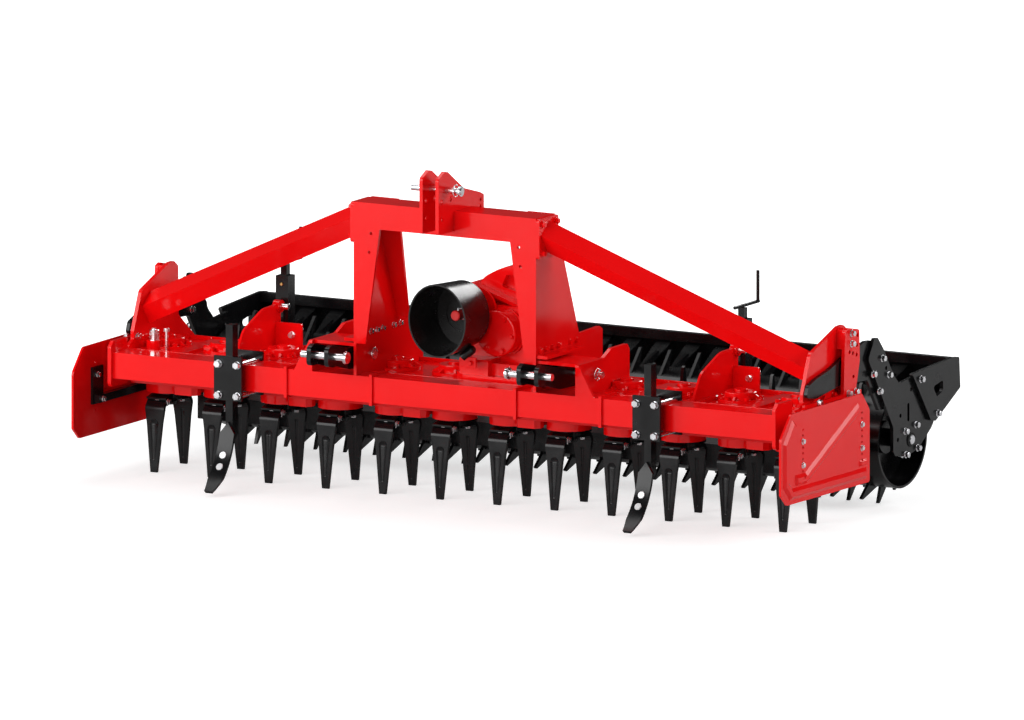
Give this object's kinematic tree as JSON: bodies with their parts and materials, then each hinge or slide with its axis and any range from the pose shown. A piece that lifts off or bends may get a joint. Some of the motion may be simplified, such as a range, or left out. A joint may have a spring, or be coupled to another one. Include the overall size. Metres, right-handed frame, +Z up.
{
  "type": "power harrow",
  "caption": "Tractor-mounted power harrow: geared vertical rotors with knife tines under a trough, with a three-point headstock and a rear toothed packer roller.",
  "frame": {"origin": "centre of the footprint, on the ground", "axes": "+X to the driver's left along the working width, -Y the direction of travel, +Z up"},
  "size_m": [3.122, 1.4997, 1.3134],
  "materials": {
    "red_paint": "gloss red enamel over welded plate",
    "black_paint": "semi-gloss black enamel",
    "tine_black": "black paint over forged steel",
    "zinc_plate": "bright zinc plate",
    "machined_steel": "machined and oiled",
    "black_plastic": "moulded, slightly glossy"
  },
  "bodies": {
    "frame": {"front_beam": "red_paint", "beam_end_plates": "red_paint", "gear_trough": "red_paint", "trough_cover": "red_paint", "bearing_housings": "red_paint", "stone_guards": "red_paint", "gearbox_housing": "red_paint", "gearbox_cover": "red_paint", "headstock_legs": "red_paint", "headstock_crossbeam": "red_paint", "top_link_bracket": "red_paint", "braces": "red_paint", "hitch_brackets": "red_paint", "end_brackets": "red_paint", "depth_stop_bars": "red_paint", "side_deflectors": "red_paint", "sector_brackets": "red_paint", "lower_link_forks": "black_paint", "deflector_arms": "black_paint", "eradicator_clamps": "black_paint", "eradicator_shanks": "black_paint", "eradicator_blades": "black_paint", "levelling_bar": "black_paint", "levelling_posts": "black_paint", "top_link_pin": "zinc_plate", "lower_link_pins": "zinc_plate", "pto_guard": "black_plastic"},
    "pto": {"pto_shaft": "machined_steel"},
    "rotor_01": {"rotor_01_hub": "black_paint", "rotor_01_tines": "tine_black"},
    "rotor_02": {"rotor_02_hub": "black_paint", "rotor_02_tines": "tine_black"},
    "rotor_03": {"rotor_03_hub": "black_paint", "rotor_03_tines": "tine_black"},
    "rotor_04": {"rotor_04_hub": "black_paint", "rotor_04_tines": "tine_black"},
    "rotor_05": {"rotor_05_hub": "black_paint", "rotor_05_tines": "tine_black"},
    "rotor_06": {"rotor_06_hub": "black_paint", "rotor_06_tines": "tine_black"},
    "rotor_07": {"rotor_07_hub": "black_paint", "rotor_07_tines": "tine_black"},
    "rotor_08": {"rotor_08_hub": "black_paint", "rotor_08_tines": "tine_black"},
    "rotor_09": {"rotor_09_hub": "black_paint", "rotor_09_tines": "tine_black"},
    "rotor_10": {"rotor_10_hub": "black_paint", "rotor_10_tines": "tine_black"},
    "rotor_11": {"rotor_11_hub": "black_paint", "rotor_11_tines": "tine_black"},
    "rotor_12": {"rotor_12_hub": "black_paint", "rotor_12_tines": "tine_black"},
    "roller_frame": {"roller_arms": "black_paint", "roller_side_plates": "black_paint", "scraper_end_plates": "black_paint", "scraper_beam": "black_paint", "scrapers": "black_paint"},
    "roller": {"roller_drum": "black_paint", "roller_axle": "machined_steel"}
  },
  "joints": [
    {"name": "rotor_01_turn", "type": "hinge", "parent": "frame", "child": "rotor_01", "pos_m": [-1.375, -0.243, 0.3], "axis": [0, 0, 1], "continuous": true},
    {"name": "rotor_02_turn", "type": "hinge", "parent": "frame", "child": "rotor_02", "pos_m": [-1.125, -0.243, 0.3], "axis": [0, 0, 1], "continuous": true},
    {"name": "rotor_03_turn", "type": "hinge", "parent": "frame", "child": "rotor_03", "pos_m": [-0.875, -0.243, 0.3], "axis": [0, 0, 1], "continuous": true},
    {"name": "rotor_04_turn", "type": "hinge", "parent": "frame", "child": "rotor_04", "pos_m": [-0.625, -0.243, 0.3], "axis": [0, 0, 1], "continuous": true},
    {"name": "rotor_05_turn", "type": "hinge", "parent": "frame", "child": "rotor_05", "pos_m": [-0.375, -0.243, 0.3], "axis": [0, 0, 1], "continuous": true},
    {"name": "rotor_06_turn", "type": "hinge", "parent": "frame", "child": "rotor_06", "pos_m": [-0.125, -0.243, 0.3], "axis": [0, 0, 1], "continuous": true},
    {"name": "rotor_07_turn", "type": "hinge", "parent": "frame", "child": "rotor_07", "pos_m": [0.125, -0.243, 0.3], "axis": [0, 0, 1], "continuous": true},
    {"name": "rotor_08_turn", "type": "hinge", "parent": "frame", "child": "rotor_08", "pos_m": [0.375, -0.243, 0.3], "axis": [0, 0, 1], "continuous": true},
    {"name": "rotor_09_turn", "type": "hinge", "parent": "frame", "child": "rotor_09", "pos_m": [0.625, -0.243, 0.3], "axis": [0, 0, 1], "continuous": true},
    {"name": "rotor_10_turn", "type": "hinge", "parent": "frame", "child": "rotor_10", "pos_m": [0.875, -0.243, 0.3], "axis": [0, 0, 1], "continuous": true},
    {"name": "rotor_11_turn", "type": "hinge", "parent": "frame", "child": "rotor_11", "pos_m": [1.125, -0.243, 0.3], "axis": [0, 0, 1], "continuous": true},
    {"name": "rotor_12_turn", "type": "hinge", "parent": "frame", "child": "rotor_12", "pos_m": [1.375, -0.243, 0.3], "axis": [0, 0, 1], "continuous": true},
    {"name": "pto_turn", "type": "hinge", "parent": "frame", "child": "pto", "pos_m": [0, -0.423, 0.733], "axis": [0, 1, 0], "continuous": true},
    {"name": "roller_lift", "type": "hinge", "parent": "frame", "child": "roller_frame", "pos_m": [0, -0.321, 0.548], "axis": [1, 0, 0], "range_deg": [0, 6]},
    {"name": "roller_turn", "type": "hinge", "parent": "roller_frame", "child": "roller", "pos_m": [0, 0.396, 0.2571], "axis": [1, 0, 0], "continuous": true}
  ],
  "couplings": [
    {"joint": "rotor_01_turn", "follows": "rotor_06_turn", "ratio": -1},
    {"joint": "rotor_02_turn", "follows": "rotor_06_turn", "ratio": 1},
    {"joint": "rotor_03_turn", "follows": "rotor_06_turn", "ratio": -1},
    {"joint": "rotor_04_turn", "follows": "rotor_06_turn", "ratio": 1},
    {"joint": "rotor_05_turn", "follows": "rotor_06_turn", "ratio": -1},
    {"joint": "rotor_07_turn", "follows": "rotor_06_turn", "ratio": -1},
    {"joint": "rotor_08_turn", "follows": "rotor_06_turn", "ratio": 1},
    {"joint": "rotor_09_turn", "follows": "rotor_06_turn", "ratio": -1},
    {"joint": "rotor_10_turn", "follows": "rotor_06_turn", "ratio": 1},
    {"joint": "rotor_11_turn", "follows": "rotor_06_turn", "ratio": -1},
    {"joint": "rotor_12_turn", "follows": "rotor_06_turn", "ratio": 1},
    {"joint": "pto_turn", "follows": "rotor_06_turn", "ratio": 3}
  ]
}
